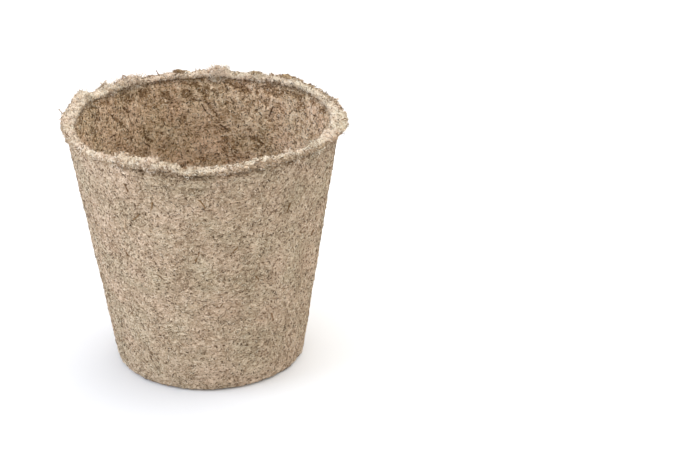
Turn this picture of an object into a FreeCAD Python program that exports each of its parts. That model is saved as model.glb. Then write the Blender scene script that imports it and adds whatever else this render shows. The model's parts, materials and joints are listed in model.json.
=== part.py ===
import FreeCAD, Part
import os

import Sketcher

# A peat pot: one cup of pressed wood fibre and peat with a torn lip, and the loose plant bits
# that were caught in the felt. Millimetres, +Z up, origin at the middle of the underside.

driving_sizes = {
    # the cup's tapered wall and flat base
    "pot_height": 72.8,
    "wall_top_radius": 38.5,
    "wall_base_radius": 27.25,
    "wall_thickness": 2.0,
    "base_thickness": 2.2,
    "heel_radius": 1.4,
    "floor_corner_radius": 3.0,
    # the torn lip: its band height, how far it hangs over, and how far it stands into the mouth
    "lip_depth": 2.4,
    "lip_reach": 1.5,
    "lip_inset": 0.35,
    # dark stems pressed into the outer and the inner face
    "stem_thickness": 0.38,
    "stem_length": 3.0,
    "stem_bend": 9.0,
    # pale straw slivers pressed into the same faces
    "straw_thickness": 0.32,
    "straw_length": 3.4,
    "straw_bend": 14.0,
    # stiff stems that stand out of the lip
    "sprig_thickness": 0.32,
    "sprig_length": 3.4,
    "sprig_bend": 8.0,
    # fine fibres of the tufts pulled up at the lip
    "tuft_thickness": 0.24,
    "tuft_length": 3.7,
    "tuft_bend": 5.0,
    "tuft_spacing": 0.42,
    # flat flakes of bark lying on the lip
    "flake_thickness": 0.9,
    "flake_width": 2.2,
    "flake_length": 5.6,
}

# How high the lip is torn, as shares of lip_depth, and how far it hangs over, as shares of
# lip_reach, at even steps from +X towards +Y.
lip_rise_shares = (
    0.00, 0.02, 0.00, 0.05, 0.10, 0.40, 0.38, 0.15, 0.22, 0.40, 0.12, 0.28,
    0.18, 0.45, 0.25, 0.50, 0.58, 0.22, 0.02, -0.02, -0.10, -0.35, -0.42, -0.10,
    0.28, 0.42, 0.30, -0.34, -0.12, -0.08, 0.28, -0.10, -0.18, -0.34, 0.05, 0.02,
)
lip_reach_shares = (
    1.20, 1.10, 0.96, 0.82, 0.72, 0.90, 0.90, 0.62, 0.70, 0.82, 0.62, 0.88,
    0.80, 0.90, 0.72, 1.65, 1.60, 1.10, 0.88, 0.58, 0.42, 0.32, 0.34, 0.50,
    0.62, 0.72, 0.80, 0.62, 0.64, 0.68, 0.88, 0.82, 0.88, 1.00, 1.18, 1.25,
)

# Each row: share of a full turn, share of the pot's height, tilt off the wall's slope as a share
# of a full turn, share of the stem's length.
wall_stem_shares = (
    (0.610, 0.83, -0.04, 1.10), (0.669, 0.89, -0.05, 0.90), (0.640, 0.74, 0.16, 0.70),
    (0.677, 0.77, 0.12, 1.05), (0.700, 0.83, 0.04, 0.90), (0.651, 0.60, -0.06, 0.80),
    (0.700, 0.52, -0.15, 0.75), (0.870, 0.77, 0.07, 1.05), (0.760, 0.85, -0.09, 1.10),
    (0.751, 0.62, 0.06, 1.10), (0.798, 0.64, 0.12, 0.95), (0.830, 0.50, -0.10, 0.80),
    (0.780, 0.40, 0.09, 0.70), (0.860, 0.30, -0.04, 0.90), (0.720, 0.28, 0.19, 0.85),
    (0.640, 0.33, 0.03, 0.95), (0.930, 0.60, 0.14, 1.00), (0.960, 0.84, -0.12, 0.80),
    (0.030, 0.45, 0.08, 1.05), (0.090, 0.75, -0.07, 0.95), (0.150, 0.25, 0.17, 0.80),
    (0.210, 0.62, 0.02, 1.10), (0.280, 0.86, -0.14, 0.85), (0.330, 0.38, 0.11, 1.00),
    (0.400, 0.70, -0.03, 0.95), (0.450, 0.20, 0.21, 0.75), (0.500, 0.55, -0.18, 1.05),
    (0.560, 0.40, 0.05, 0.90), (0.540, 0.80, 0.13, 0.80), (0.980, 0.18, -0.08, 0.90),
)
inner_stem_shares = (
    (0.263, 0.86, 0.08, 1.15), (0.235, 0.78, 0.15, 1.10), (0.166, 0.87, -0.05, 1.20),
    (0.350, 0.74, 0.14, 0.80), (0.405, 0.82, -0.23, 0.85), (0.200, 0.64, -0.20, 0.90),
    (0.310, 0.60, 0.10, 0.70), (0.120, 0.70, 0.18, 0.85), (0.460, 0.62, -0.06, 0.90),
    (0.050, 0.50, 0.12, 1.00), (0.960, 0.76, -0.10, 0.80), (0.860, 0.44, 0.07, 0.95),
    (0.740, 0.68, -0.16, 0.90), (0.640, 0.36, 0.20, 0.85), (0.560, 0.80, 0.03, 1.00),
    (0.400, 0.34, -0.12, 0.80),
)

# Each row: share of a full turn, lean outwards, lean sideways and roll as shares of a full turn,
# share of the sprig's length.
sprig_shares = (
    (0.498, 0.18, 0.02, 0.10, 1.30), (0.376, 0.05, 0.08, 0.30, 1.00),
    (0.358, 0.07, -0.07, 0.65, 1.05), (0.316, 0.09, -0.10, 0.20, 0.85),
    (0.268, 0.08, 0.17, 0.45, 1.10), (0.164, 0.08, -0.12, 0.80, 0.80),
    (0.118, 0.12, 0.09, 0.15, 0.85), (0.070, 0.09, 0.13, 0.55, 0.90),
    (0.985, 0.15, -0.09, 0.35, 1.00), (0.905, 0.11, 0.14, 0.70, 0.90),
    (0.800, 0.08, -0.15, 0.05, 0.95), (0.730, 0.09, 0.12, 0.60, 0.85),
    (0.560, 0.12, -0.08, 0.25, 0.90),
)
# Each row: share of a full turn, share of the tuft's length.
tuft_shares = ((0.394, 1.00), (0.346, 0.90), (0.240, 0.80), (0.447, 0.75), (0.665, 0.70))
# From one side of a tuft to the other: each fibre's share of the tuft's length.
tuft_fibre_shares = (0.74, 1.00, 0.84, 0.95, 0.68)
# Each row: share of a full turn, tip along the lip as a share of a full turn, share of the
# flake's length.
flake_shares = ((0.148, 0.02, 1.00), (0.289, 0.03, 0.90), (0.196, -0.01, 0.70))

# Heights in the lip, as shares of lip_depth.
crown_share = 0.20  # from the crown down to its shoulders
wall_top_share = 0.70  # down to the wall's top edge, inside the lip
underside_share = 0.75
lip_root_share = 1.50
fibre_root_share = 0.40  # from the crown down to the roots of sprigs and tufts

straws_per_face = 18
straw_lowest_share = 0.12
straw_highest_share = 0.88
outer_straw_share = 0.31  # where round the pot the first straw lies
inner_straw_share = 0.07
golden_share = 0.381966  # successive straws a golden angle apart never line up
wall_bow_share = 0.17  # of length squared over radius: how far a hollow wall bows up under a bit

tuft_fan_share = 0.035  # sideways lean from one fibre of a tuft to the next
tuft_lean_share = 0.03  # outward lean
left_roll_share = 0.25
right_roll_share = 0.75
flake_narrow_share = 0.25  # half the width and length that the bevels leave, on the one side
flake_wide_share = 0.33  # and on the other

full_turn = 360
hexagon_corner_count = 6
half_share = 0.5
origin_index = -1
start_index = 1
end_index = 2

doc = FreeCAD.newDocument("PeatPot")
sheet = doc.addObject("Spreadsheet::Sheet", "Sizes")
for row, (name, value) in enumerate(driving_sizes.items(), 1):
    sheet.set(f"A{row}", name)
    sheet.set(f"B{row}", str(value))
    sheet.setAlias(f"B{row}", name)
doc.recompute()


def value_of(text):
    """The number that an expression of the sheet's sizes comes to."""
    return float(sheet.evalExpression(text))


def wall_radius_at(height):
    """Outer radius of the tapered wall at a height, as an expression."""
    spread = "(Sizes.wall_top_radius - Sizes.wall_base_radius)"
    return f"(Sizes.wall_base_radius + {spread} * ({height}) / Sizes.pot_height)"


def placed(x, z, rotation, y="0"):
    return f"placement(vector({x}; {y}; {z}); {rotation})"


def turned(rotation):
    return placed(0, 0, rotation)


def about_axis(turn_share):
    return turned(f"rotationz({turn_share * full_turn})")


def stood_up(turn_share):
    """The placement of a sketch that stands on edge, turned about the pot's axis."""
    on_edge = FreeCAD.Rotation(FreeCAD.Vector(1, 0, 0), full_turn / 4)
    turn = FreeCAD.Rotation(FreeCAD.Vector(0, 0, 1), turn_share * full_turn)
    return FreeCAD.Placement(FreeCAD.Vector(), turn * on_edge)


# Sketch helpers: a corner is a pair of expressions, bound to the sheet by two distances.


def point_at(corner):
    return FreeCAD.Vector(value_of(corner[0]), value_of(corner[1]), 0)


def pin(sketch, geometry, end, corner):
    for kind, text in zip(("DistanceX", "DistanceY"), corner):
        link = Sketcher.Constraint(
            kind, origin_index, start_index, geometry, end, value_of(text)
        )
        index = sketch.addConstraint(link)
        sketch.setExpression(f"Constraints[{index}]", text)


def draw_outline(sketch, corners, crown=None):
    """A closed outline through the corners. A crown bows the outline's first edge into an arc."""
    follows = corners[1:] + corners[:1]
    for index, (first, last) in enumerate(zip(corners, follows)):
        edge = Part.LineSegment(point_at(first), point_at(last))
        if crown and index == 0:
            edge = Part.Arc(point_at(first), point_at(crown), point_at(last))
        sketch.addGeometry(edge, False)
        pin(sketch, index, start_index, first)
    for index in range(len(corners)):
        after = (index + 1) % len(corners)
        sketch.addConstraint(Sketcher.Constraint("Coincident", index, end_index, after, start_index))
    if crown:
        top = sketch.addGeometry(Part.Point(point_at(crown)), True)
        pin(sketch, top, start_index, crown)
        sketch.addConstraint(Sketcher.Constraint("PointOnObject", top, start_index, 0))


def ring_edge(shape, radius, height):
    """Name of the level circular edge nearest to a radius and a height."""

    def miss(edge):
        centre = edge.Curve.Center
        return abs(edge.Curve.Radius - radius) + abs(centre.z - height)

    rings = [
        (miss(edge), index)
        for index, edge in enumerate(shape.Edges, 1)
        if isinstance(edge.Curve, Part.Circle)
    ]
    return f"Edge{min(rings)[1]}"


# The cup: a turned half profile, rounded at the heel and in the corner of its floor.

wall = doc.addObject("PartDesign::Body", "TaperedWall")

wall_top = f"Sizes.pot_height - Sizes.lip_depth * {wall_top_share}"
wall_top_outer = wall_radius_at(wall_top)
floor_outer = wall_radius_at("Sizes.base_thickness")
half_profile = [
    ("0", "0"),
    ("Sizes.wall_base_radius", "0"),
    (wall_top_outer, wall_top),
    (f"{wall_top_outer} - Sizes.wall_thickness", wall_top),
    (f"{floor_outer} - Sizes.wall_thickness", "Sizes.base_thickness"),
    ("0", "Sizes.base_thickness"),
]
profile = wall.newObject("Sketcher::SketchObject", "HalfProfile")
upright = next(plane for plane in wall.Origin.OriginFeatures if plane.Role == "XZ_Plane")
profile.AttachmentSupport = [(upright, "")]
profile.MapMode = "FlatFace"
draw_outline(profile, half_profile)
doc.recompute()

turned_wall = wall.newObject("PartDesign::Revolution", "TurnedWall")
turned_wall.Profile = profile
turned_wall.ReferenceAxis = (profile, ["V_Axis"])
turned_wall.Angle = full_turn
doc.recompute()

heel = wall.newObject("PartDesign::Fillet", "HeelRound")
heel_edge = ring_edge(turned_wall.Shape, value_of("Sizes.wall_base_radius"), 0)
heel.Base = (turned_wall, [heel_edge])
heel.setExpression("Radius", "Sizes.heel_radius")
doc.recompute()

corner = wall.newObject("PartDesign::Fillet", "FloorCorner")
corner_radius = value_of(f"{floor_outer} - Sizes.wall_thickness")
corner_edge = ring_edge(heel.Shape, corner_radius, value_of("Sizes.base_thickness"))
corner.Base = (heel, [corner_edge])
corner.setExpression("Radius", "Sizes.floor_corner_radius")
doc.recompute()


# The torn lip: a ring lofted through upright cuts that rise, sag and overhang by the tables.


def lip_section(name, turn_share, rise_share, reach_share):
    """One cut through the lip: rooted in the wall, undercut outside, domed on top."""
    outer = f"(Sizes.wall_top_radius + Sizes.lip_reach * {reach_share})"
    inner = "(Sizes.wall_top_radius - Sizes.wall_thickness - Sizes.lip_inset)"
    middle = "(Sizes.wall_top_radius - Sizes.wall_thickness / 2)"
    top = f"(Sizes.pot_height + Sizes.lip_depth * {rise_share})"
    brow = f"{top} - Sizes.lip_depth * {crown_share}"
    underside = f"Sizes.pot_height - Sizes.lip_depth * {underside_share}"
    root_height = f"Sizes.pot_height - Sizes.lip_depth * {lip_root_share}"
    root = (f"{middle} - Sizes.lip_inset", root_height)
    sketch = doc.addObject("Sketcher::SketchObject", name)
    sketch.Placement = stood_up(turn_share)
    corners = [(outer, brow), (inner, brow), (inner, underside), root, (outer, underside)]
    draw_outline(sketch, corners, crown=(middle, top))
    return sketch


sections = []
for index, (rise_share, reach_share) in enumerate(zip(lip_rise_shares, lip_reach_shares)):
    turn_share = index / len(lip_rise_shares)
    sections.append(lip_section(f"LipSection{index:02d}", turn_share, rise_share, reach_share))

torn_lip = doc.addObject("Part::Loft", "TornLip")
torn_lip.Sections = sections
torn_lip.Solid = True
torn_lip.Ruled = True
torn_lip.Closed = True

cup = doc.addObject("Part::Fuse", "MouldedCup")
cup.Base = wall
cup.Tool = torn_lip
cup.Label = "moulded_cup"
doc.recompute()

# The loose bits: six-sided stems and fibres bent to an arc. Those pressed into the walls are
# split along their middle, and lie on the wall with their flat backs.

taper = "atan((Sizes.wall_top_radius - Sizes.wall_base_radius) / Sizes.pot_height)"


def stem_section(kind, corner_count):
    """The first corners of a hexagon, one bend radius out from the axis of the bend."""
    half = f"Sizes.{kind}_thickness / 2"
    corners = []
    for index in range(corner_count):
        turn = f"{index * full_turn / hexagon_corner_count} deg"
        corners.append((f"Sizes.{kind}_bend + {half} * cos({turn})", f"{half} * sin({turn})"))
    section = doc.addObject("Sketcher::SketchObject", f"{kind}_section")
    section.Placement = stood_up(0)
    draw_outline(section, corners)
    return section


def bent_bit(kind, section, place, length_share, behind_share):
    """A bit swept about its bend, with a share of its length behind the place's origin."""
    bit = doc.addObject("Part::Revolution", f"{kind}_bit")
    bit.Source = section
    bit.Axis = FreeCAD.Vector(0, 0, 1)
    bit.Solid = True
    sweep = f"(Sizes.{kind}_length * {length_share} / Sizes.{kind}_bend * 1 rad)"
    bit.setExpression("Angle", sweep)
    set_back = placed(f"-Sizes.{kind}_bend", 0, f"rotationz(-{sweep} * {behind_share})")
    bit.setExpression("Placement", f"{place} * {set_back}")
    return bit


def group_bits(label, bits, seat=None):
    """One node from many bits. What lies inside the seat is cut away."""
    group = doc.addObject("Part::Compound", f"{label}_group")
    group.Links = bits
    node = group
    if seat:
        node = doc.addObject("Part::Cut", f"{label}_seated")
        node.Base = group
        node.Tool = seat
    node.Label = label
    return node


# Bits pressed into the walls.


def on_wall(kind, inside, turn_share, height_share, tilt_share):
    """A frame on the outer or the inner face: its Z squarely off the slope, its Y along the bit."""
    height = f"Sizes.pot_height * {height_share}"
    radius = wall_radius_at(height)
    lie = f"rotationy(90 deg + {taper})"
    tilt = -tilt_share * full_turn
    if inside:
        bow = f"Sizes.{kind}_length * Sizes.{kind}_length / Sizes.wall_base_radius * {wall_bow_share}"
        radius = f"{radius} - Sizes.wall_thickness - {bow}"
        lie = f"rotationy({taper} - 90 deg)"
        tilt = -tilt
    along = turned(f"rotationz(90 + {tilt})")
    return f"{about_axis(turn_share)} * {placed(radius, height, lie)} * {along}"


def pressed_stems(label, inside, rows):
    bits = []
    for turn_share, height_share, tilt_share, length_share in rows:
        place = on_wall("stem", inside, turn_share, height_share, tilt_share)
        bits.append(bent_bit("stem", split_stem, place, length_share, half_share))
    return group_bits(label, bits)


def pressed_straws(label, inside, first_share):
    """Straws a golden angle apart round the wall, climbing from the heel to the lip."""
    climb_share = (straw_highest_share - straw_lowest_share) / straws_per_face
    bits = []
    for step in range(straws_per_face):
        turn_share = (first_share + step * golden_share) % 1
        height_share = straw_lowest_share + climb_share * (step + first_share)
        tilt_share = (step * golden_share * golden_share) % 1 / 2
        place = on_wall("straw", inside, turn_share, height_share, tilt_share)
        bits.append(bent_bit("straw", split_straw, place, 1, half_share))
    return group_bits(label, bits)


# Bits at the torn lip: fibres rooted in it and flakes lying on it. What the felt has swallowed
# is cut away, so that each one meets the cup face to face.


def lip_top(turn_share):
    """Height of the lip's crown, between the two cuts on either side."""
    position = turn_share * len(lip_rise_shares)
    before = int(position)
    after = (before + 1) % len(lip_rise_shares)
    past = position - before
    rise_share = lip_rise_shares[before] * (1 - past) + lip_rise_shares[after] * past
    return f"Sizes.pot_height + Sizes.lip_depth * {rise_share:.4f}"


def in_lip(turn_share, lean_share, side_share, roll_share, aside="0"):
    """A frame in the lip: its Y up along the fibre, leaning outwards and sideways, then rolled."""
    middle = "Sizes.wall_top_radius - Sizes.wall_thickness / 2"
    depth = f"{lip_top(turn_share)} - Sizes.lip_depth * {fibre_root_share}"
    steps = (
        about_axis(turn_share),
        placed(middle, depth, f"rotationy({lean_share * full_turn})", aside),
        turned(f"rotationx(90 + {side_share * full_turn})"),
        turned(f"rotationy({roll_share * full_turn})"),
    )
    return " * ".join(steps)


def lip_sprigs(label):
    bits = []
    for turn_share, lean_share, side_share, roll_share, length_share in sprig_shares:
        place = in_lip(turn_share, lean_share, side_share, roll_share)
        bits.append(bent_bit("sprig", whole_sprig, place, length_share, 0))
    return group_bits(label, bits, cup)


def lip_tufts(label):
    """Each tuft is a fan of fine fibres with their roots side by side in the lip."""
    middle_order = (len(tuft_fibre_shares) - 1) / 2
    bits = []
    for turn_share, length_share in tuft_shares:
        for order, fibre_share in enumerate(tuft_fibre_shares):
            step_aside = order - middle_order
            lean_share = tuft_lean_share * (order % 2 + 1)
            roll_share = left_roll_share if step_aside < 0 else right_roll_share
            aside = f"Sizes.tuft_spacing * {step_aside}"
            fan_share = -step_aside * tuft_fan_share
            place = in_lip(turn_share, lean_share, fan_share, roll_share, aside)
            fibre_length_share = length_share * fibre_share
            bits.append(bent_bit("tuft", whole_fibre, place, fibre_length_share, 0))
    return group_bits(label, bits, cup)


def lip_flakes(label):
    """Chips of bark with bevelled edges that lie along the lip, bedded to half their thickness."""
    bits = []
    for turn_share, tip_share, length_share in flake_shares:
        flake = doc.addObject("Part::Wedge", "flake_bit")
        length = f"Sizes.flake_length * {length_share}"
        for name, text in {
            "Xmin": "-Sizes.flake_width / 2",
            "Xmax": "Sizes.flake_width / 2",
            "X2min": f"-Sizes.flake_width * {flake_narrow_share}",
            "X2max": f"Sizes.flake_width * {flake_wide_share}",
            "Ymin": "-Sizes.flake_thickness / 2",
            "Ymax": "Sizes.flake_thickness / 2",
            "Zmin": f"-{length} / 2",
            "Zmax": f"{length} / 2",
            "Z2min": f"-{length} * {flake_wide_share}",
            "Z2max": f"{length} * {flake_narrow_share}",
        }.items():
            flake.setExpression(name, text)
        tip = f"rotationx(90 + {tip_share * full_turn})"
        lying = placed("Sizes.wall_top_radius", lip_top(turn_share), tip)
        flake.setExpression("Placement", f"{about_axis(turn_share)} * {lying}")
        bits.append(flake)
    return group_bits(label, bits, cup)


split_corners = hexagon_corner_count // 2 + 1
split_stem = stem_section("stem", split_corners)
split_straw = stem_section("straw", split_corners)
whole_sprig = stem_section("sprig", hexagon_corner_count)
whole_fibre = stem_section("tuft", hexagon_corner_count)

sub_parts = [
    cup,
    pressed_stems("wall_stems", False, wall_stem_shares),
    pressed_stems("inner_stems", True, inner_stem_shares),
    pressed_straws("wall_straws", False, outer_straw_share),
    pressed_straws("inner_straws", True, inner_straw_share),
    lip_sprigs("rim_sprigs"),
    lip_tufts("rim_tufts"),
    lip_flakes("rim_flakes"),
]
doc.recompute()

failed = [thing.Label for thing in doc.Objects if {"Invalid", "Error"} & set(thing.State)]
if failed:
    raise RuntimeError(f"these did not build: {failed}")
for part in sub_parts:
    if part.Shape.isNull() or not part.Shape.isValid():
        raise RuntimeError(f"{part.Label} has no valid shape")

os.makedirs("parts", exist_ok=True)
for part in sub_parts:
    part.Shape.exportStep(f"parts/{part.Label}.step")
    box = part.Shape.BoundBox
    print(
        f"{part.Label}: {len(part.Shape.Solids)} solids, {part.Shape.Volume:.1f} mm3,",
        f"z {box.ZMin:.2f} to {box.ZMax:.2f}, across {box.XLength:.2f} x {box.YLength:.2f}",
    )
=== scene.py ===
import bmesh
import bpy
import json
import math
import numpy
from mathutils import Matrix, Vector, noise

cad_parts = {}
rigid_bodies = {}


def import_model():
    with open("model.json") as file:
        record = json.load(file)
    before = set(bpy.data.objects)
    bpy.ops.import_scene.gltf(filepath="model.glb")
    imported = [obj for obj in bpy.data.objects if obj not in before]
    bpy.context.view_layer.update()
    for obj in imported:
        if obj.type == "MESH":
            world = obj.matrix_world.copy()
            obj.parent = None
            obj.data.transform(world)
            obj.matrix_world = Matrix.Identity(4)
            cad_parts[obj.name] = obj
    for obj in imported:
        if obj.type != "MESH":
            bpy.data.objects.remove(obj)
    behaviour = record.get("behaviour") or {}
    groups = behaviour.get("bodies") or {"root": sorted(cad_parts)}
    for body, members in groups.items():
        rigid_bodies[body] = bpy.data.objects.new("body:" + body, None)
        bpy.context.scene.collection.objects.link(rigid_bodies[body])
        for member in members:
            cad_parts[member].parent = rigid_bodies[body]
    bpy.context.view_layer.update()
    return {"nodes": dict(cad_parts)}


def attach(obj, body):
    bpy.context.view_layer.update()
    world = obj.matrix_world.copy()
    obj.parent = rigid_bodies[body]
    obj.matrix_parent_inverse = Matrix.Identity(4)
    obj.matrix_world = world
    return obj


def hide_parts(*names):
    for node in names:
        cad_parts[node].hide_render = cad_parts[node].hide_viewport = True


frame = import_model()

mm = 0.001
scene = bpy.context.scene
noise.seed_set(3)  # vector noise would take its seed from the clock


# Small helpers

def linearColour(hexText):
    parts = [int(hexText[i:i + 2], 16) / 255 for i in (1, 3, 5)]
    return [p / 12.92 if p <= 0.04045 else ((p + 0.055) / 1.055) ** 2.4 for p in parts] + [1.0]


def addNode(tree, kind, values=None, **settings):
    # values: an input's name or number, and its plain value or the output that feeds it
    node = tree.nodes.new(kind)
    for name, value in settings.items():
        setattr(node, name, value)
    for name, value in (values or {}).items():
        if isinstance(value, bpy.types.NodeSocket):
            tree.links.new(value, node.inputs[name])
        else:
            node.inputs[name].default_value = value
    return node


def startMaterial(name):
    material = bpy.data.materials.new(name)
    material.use_nodes = True
    material.node_tree.nodes.clear()
    return material, material.node_tree


def linkObject(name, mesh):
    made = bpy.data.objects.new(name, mesh)
    scene.collection.objects.link(made)
    return made


def meshFrom(bm, name):
    mesh = bpy.data.meshes.new(name)
    bm.to_mesh(mesh)
    bm.free()
    return mesh


def between(value, low, high):
    # 0 below low, 1 above high, eased in the middle
    share = min(max((value - low) / (high - low), 0.0), 1.0)
    return share * share * (3 - 2 * share)


# Camera: fitted to the rim and foot of the photographed pot, pitch in degrees, the rest in millimetres

cameraFit = {"pitch": 23.92, "distance": 513.1, "aside": 41.3, "above": 36.1, "lens": 88.457,
             "sensor": 36}


def addCamera():
    pitch = math.radians(cameraFit["pitch"])
    forward = Vector((0, math.cos(pitch), -math.sin(pitch)))
    upward = Vector((0, math.sin(pitch), math.cos(pitch)))
    place = Vector((cameraFit["aside"], 0, 0)) + upward * cameraFit["above"]
    place -= forward * cameraFit["distance"]
    data = bpy.data.cameras.new("photoCamera")
    data.lens = cameraFit["lens"]
    data.sensor_width = cameraFit["sensor"]
    camera = bpy.data.objects.new("photoCamera", data)
    camera.location = place * mm
    camera.rotation_euler = (math.pi / 2 - pitch, 0, 0)
    scene.collection.objects.link(camera)
    scene.camera = camera


addCamera()
print("camera placed")


# Studio: a white sweep in an even white room, broad boxes above and behind on the right, and a low
# window on the left

studio = {
    "roomLight": 0.97,
    "lamps": {
        "ceilingBox": {"watts": 2.6, "size": 1.2, "place": (0.40, 0.04, 1.04), "colour": "#FFFBF4"},
        "leftWindow": {"watts": 8.3, "size": 0.8, "place": (-0.96, -0.24, 0.49), "colour": "#E2ECFF"},
        "backBox": {"watts": 7.4, "size": 1.5, "place": (0.40, 0.42, 1.02), "colour": "#FFFBF4"},
    },
    "aimHeight": 0.035,  # metres, as the sizes and places of the lamps are
    "floorSize": 6.0, "floorColours": ("#EBECEE", "#EEF0F2"), "floorRoughness": 0.7,
    "floorGrain": 150,  # millimetres from one soft patch of its tone to the next
}


def addLamp(name, lamp):
    data = bpy.data.lights.new(name, "AREA")
    data.energy = lamp["watts"]
    data.size = lamp["size"]
    data.color = linearColour(lamp["colour"])[:3]
    made = bpy.data.objects.new(name, data)
    made.location = lamp["place"]
    target = Vector((0, 0, studio["aimHeight"]))
    made.rotation_euler = (target - made.location).to_track_quat("-Z", "Y").to_euler()
    scene.collection.objects.link(made)


def addStudio():
    scene.view_settings.view_transform = "Standard"
    room = bpy.data.worlds.new("whiteRoom")
    room.use_nodes = True
    backdrop = room.node_tree.nodes["Background"]
    backdrop.inputs["Color"].default_value = (1, 1, 1, 1)
    backdrop.inputs["Strength"].default_value = studio["roomLight"]
    scene.world = room
    for name, lamp in studio["lamps"].items():
        addLamp(name, lamp)
    bm = bmesh.new()
    bmesh.ops.create_grid(bm, x_segments=1, y_segments=1, size=studio["floorSize"] / 2)
    floor = linkObject("whiteFloor", meshFrom(bm, "whiteFloor"))
    # sanded acrylic sheet: an even white that takes soft shadows and gives no gloss
    material, tree = startMaterial("mattWhiteAcrylicSweep")
    grain = addNode(tree, "ShaderNodeTexNoise", {"Scale": studio["floorSize"] / mm / studio["floorGrain"],
                                                 "Detail": 2.0})
    tone = addNode(tree, "ShaderNodeValToRGB", {"Fac": grain.outputs["Fac"]})
    for stop, colour in zip(tone.color_ramp.elements, studio["floorColours"]):
        stop.color = linearColour(colour)
    surface = addNode(tree, "ShaderNodeBsdfPrincipled", {"Base Color": tone.outputs["Color"],
                                                         "Roughness": studio["floorRoughness"]})
    addNode(tree, "ShaderNodeOutputMaterial", {"Surface": surface.outputs["BSDF"]})
    floor.data.materials.append(material)


addStudio()
print("studio lit")


# The moulded cup, lengths in millimetres: a wall shell, and the torn lip that it carries

cupShape = {
    "height": 72.8, "topRadius": 38.5, "footRadius": 27.25, "wall": 2.0, "base": 2.2,
    "heelRound": 1.4, "cornerRound": 3.0,
    "crackLevel": 70.6, "edgeIn": 0.5, "edgeUp": 0.3,  # the wall's own top edge, hidden under the lip
    "turnSteps": 370, "rowHeight": {"foot": 0.9, "outer": 0.70, "top": 0.4, "inner": 0.74, "floor": 1.05},
}
lipShape = {
    "depth": 2.4, "reach": 1.5, "inset": 0.35, "felting": 0.30,  # the fibres lie this thick on it
    "raggedUp": 0.62, "raggedOut": 0.80, "raggedIn": 0.42, "raggedWave": 0.24,
    "streak": 0.28, "crackDrop": 0.78, "crackWander": 0.7, "crackBulge": 0.45, "groove": 0.55, "sunk": 0.25,
    "droop": 0.9, "droopTurn": 0.98, "droopPower": 14,  # on the right the lip is folded further down
    "turnSteps": 1000, "rowHeight": 0.22,
}
# Where each move or mark of the felt fades in and where it is full, in millimetres: heights from the
# top, the crack or the bench, and radii from the top radius.
bands = {
    "rise": (-2.0, -0.5), "underside": (0.3, 0.9), "overhang": (-0.8, 1.2), "mouth": (-2.2, -1.2),
    "crackBulge": (-2.5, 0), "crackSag": (-2.6, 0.1), "crackPaintedShadow": (-1.6, -0.8),
    "crown": (-1.35, -0.9), "heelShadeAndScuff": (0.25, 1.0), "peatPatches": (-7, -3),
}
zoneEdges = {"top": 0.02, "footHeight": 0.3, "footInset": 0.4, "floor": 0.2}  # millimetres past a corner
# How high the torn lip stands and how far it hangs over, at even steps from +X towards +Y.
lipRise = (
    0.00, 0.02, 0.02, 0.22, 0.36, 0.48, 0.38, 0.15, 0.22, 0.40, 0.32, 0.30,
    0.18, 0.45, 0.22, 0.20, 0.50, 0.22, 0.02, -0.02, -0.10, -0.35, -0.42, -0.10,
    0.28, 0.42, 0.30, -0.34, -0.12, -0.08, 0.28, -0.10, -0.18, -0.34, 0.05, 0.02,
)
lipReach = (
    1.20, 1.10, 0.96, 0.82, 0.72, 0.90, 0.90, 0.62, 0.70, 0.82, 0.62, 0.88,
    0.80, 0.90, 0.72, 1.10, 1.60, 1.20, 0.88, 0.58, 0.42, 0.32, 0.34, 0.50,
    0.62, 0.72, 0.80, 0.62, 0.64, 0.68, 0.88, 0.82, 0.88, 1.00, 1.18, 1.25,
)
# How open the crack under the lip is, at the same steps, and so how dark the shadow painted into it is.
lipCrack = (
    0.35, 0.30, 0.25, 0.20, 0.20, 0.30, 0.30, 0.20, 0.20, 0.20, 0.20, 0.20,
    0.20, 0.25, 0.30, 0.50, 0.60, 0.50, 0.30, 0.05, 0.00, 0.00, 0.00, 0.00,
    0.25, 0.55, 1.00, 1.00, 0.85, 1.05, 0.80, 1.20, 1.30, 1.00, 0.50, 0.30,
)
# How much thinner than usual the overhang is there, in millimetres: the crack rises with it.
lipThinned = (
    0.00, 0.00, 0.00, 0.00, 0.00, 0.00, 0.00, 0.10, 0.20, 0.20, 0.10, 0.00,
    0.00, 0.00, 0.00, 0.00, 0.00, 0.00, 0.20, 0.30, 0.30, 0.20, 0.20, 0.10,
    0.20, 0.60, 1.30, 0.30, 0.00, 0.20, 0.80, 1.10, 1.30, 1.10, 0.50, 0.10,
)
# Clumps pulled up at the lip: share of a turn, width and rise in millimetres, how fluffy.
lipClumps = (
    (0.394, 1.3, 1.1, 1.0), (0.401, 0.8, 0.7, 1.0), (0.360, 2.2, 0.9, 0.8), (0.374, 2.2, 0.6, 0.6),
    (0.349, 1.2, 0.7, 0.7), (0.236, 1.8, 1.2, 1.0), (0.247, 3.2, 0.7, 1.0), (0.439, 3.0, 1.6, 0.2),
    (0.188, 3.2, 0.4, 0.4), (0.447, 2.0, 0.6, 0.1), (0.505, 1.6, 0.3, 0.4), (0.665, 2.6, 0.5, 0.4),
    (0.702, 1.8, 0.7, 0.3), (0.748, 1.6, 0.4, 0.3), (0.905, 2.4, 0.5, 0.6), (0.870, 1.2, 0.5, 0.8),
    (0.060, 2.0, 0.4, 0.6),
)
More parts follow.
